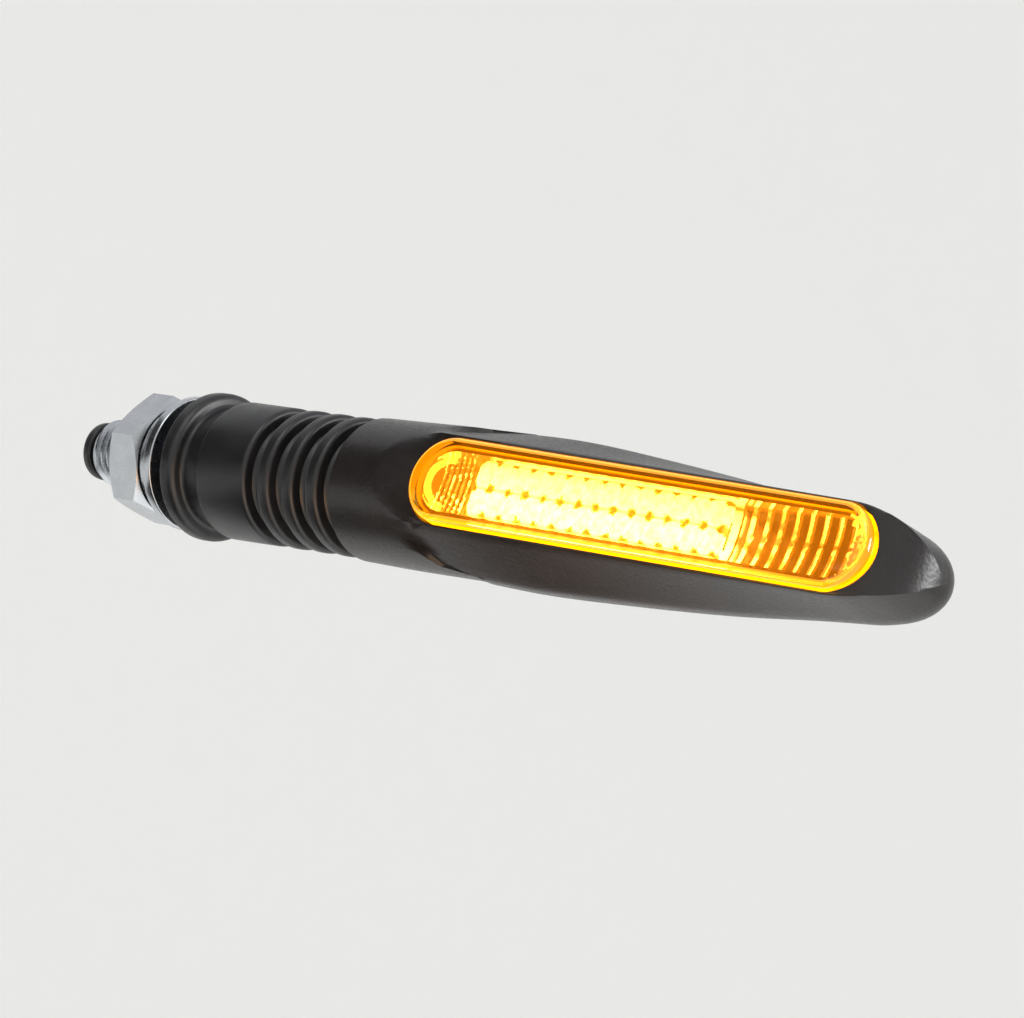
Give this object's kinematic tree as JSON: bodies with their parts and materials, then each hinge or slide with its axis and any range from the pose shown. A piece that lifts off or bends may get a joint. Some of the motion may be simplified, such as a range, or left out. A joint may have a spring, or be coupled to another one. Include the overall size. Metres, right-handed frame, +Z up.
{
  "type": "turn signal indicator",
  "caption": "Motorcycle LED turn signal: tapered blade housing with a long round-ended amber lens, on a ringed flexible rubber stem with a hollow threaded mounting stud.",
  "frame": {"origin": "centre of the rubber flange's seating face, on the axis of the mounting stud", "axes": "+X outward along the stem to the lamp's tip, -X along the stud, -Y the way the lens shines, +Z up"},
  "size_m": [0.1636, 0.0241, 0.0228],
  "materials": {
    "rubber": "satin moulded rubber",
    "housing_plastic": "satin fine-grained ABS",
    "amber_lens": "polished amber acrylic",
    "clear_optic": "polished clear acrylic",
    "bright_reflector": "vacuum-metallised",
    "zinc_steel": "bright zinc plate",
    "board_laminate": "solder mask on glass-fibre laminate",
    "led_package": "amber LED, lit",
    "component_black": "moulded epoxy",
    "component_tan": "moulded epoxy",
    "lead_black": "PVC insulation",
    "lead_amber": "PVC insulation"
  },
  "bodies": {
    "base": {"stem_base": "rubber", "threaded_stud": "zinc_steel", "wire_grommet": "rubber", "stem_web_1": "rubber"},
    "clamp_washers": {"flat_washer": "zinc_steel", "lock_washer": "zinc_steel"},
    "clamp_nut": {"hex_nut": "zinc_steel"},
    "ring_1": {"stem_ring_1": "rubber", "stem_web_2": "rubber"},
    "ring_2": {"stem_ring_2": "rubber", "stem_web_3": "rubber"},
    "ring_3": {"stem_ring_3": "rubber", "stem_web_4": "rubber"},
    "lamp_head": {"housing": "housing_plastic", "lens": "amber_lens", "stem_plug": "rubber", "stem_clip": "zinc_steel", "lens_gasket": "rubber", "reflector": "bright_reflector", "optic_bar": "clear_optic", "circuit_board": "board_laminate", "led_1": "led_package", "led_2": "led_package", "led_3": "led_package", "led_4": "led_package", "led_5": "led_package", "led_6": "led_package", "led_7": "led_package", "driver_chip": "component_black", "input_diode": "component_black", "capacitor": "component_tan", "resistor_1": "component_black", "resistor_2": "component_black", "resistor_3": "component_black", "resistor_4": "component_black", "board_screw_1": "zinc_steel", "board_screw_2": "zinc_steel", "lead_black": "lead_black", "lead_amber": "lead_amber"}
  },
  "joints": [
    {"name": "stem_lift_1", "type": "hinge", "parent": "base", "child": "ring_1", "pos_m": [0.01835, 0, 0], "axis": [0, -1, 0], "range_deg": [-10, 10], "stiffness_Nm_per_rad": 1.6, "deforming": ["stem_web_1"]},
    {"name": "stem_swing_1", "type": "hinge", "parent": "ring_1", "child": "ring_2", "pos_m": [0.02335, 0, 0], "axis": [0, 0, 1], "range_deg": [-10, 10], "stiffness_Nm_per_rad": 1.6, "deforming": ["stem_web_2"]},
    {"name": "stem_lift_2", "type": "hinge", "parent": "ring_2", "child": "ring_3", "pos_m": [0.02835, 0, 0], "axis": [0, -1, 0], "range_deg": [-10, 10], "stiffness_Nm_per_rad": 1.6, "deforming": ["stem_web_3"]},
    {"name": "stem_swing_2", "type": "hinge", "parent": "ring_3", "child": "lamp_head", "pos_m": [0.03335, 0, 0], "axis": [0, 0, 1], "range_deg": [-10, 10], "stiffness_Nm_per_rad": 1.6, "deforming": ["stem_web_4"]},
    {"name": "nut_travel", "type": "slide", "parent": "base", "child": "clamp_washers", "axis": [-1, 0, 0], "range_m": [0, 0.00751]},
    {"name": "nut_turn", "type": "hinge", "parent": "clamp_washers", "child": "clamp_nut", "pos_m": [-0.01, 0, 0], "axis": [-1, 0, 0], "range_deg": [0, 2160]}
  ],
  "couplings": [
    {"joint": "stem_lift_2", "follows": "stem_lift_1", "ratio": 1},
    {"joint": "stem_swing_2", "follows": "stem_swing_1", "ratio": 1},
    {"joint": "nut_travel", "follows": "nut_turn", "m_per_rad": 0.00019894}
  ]
}
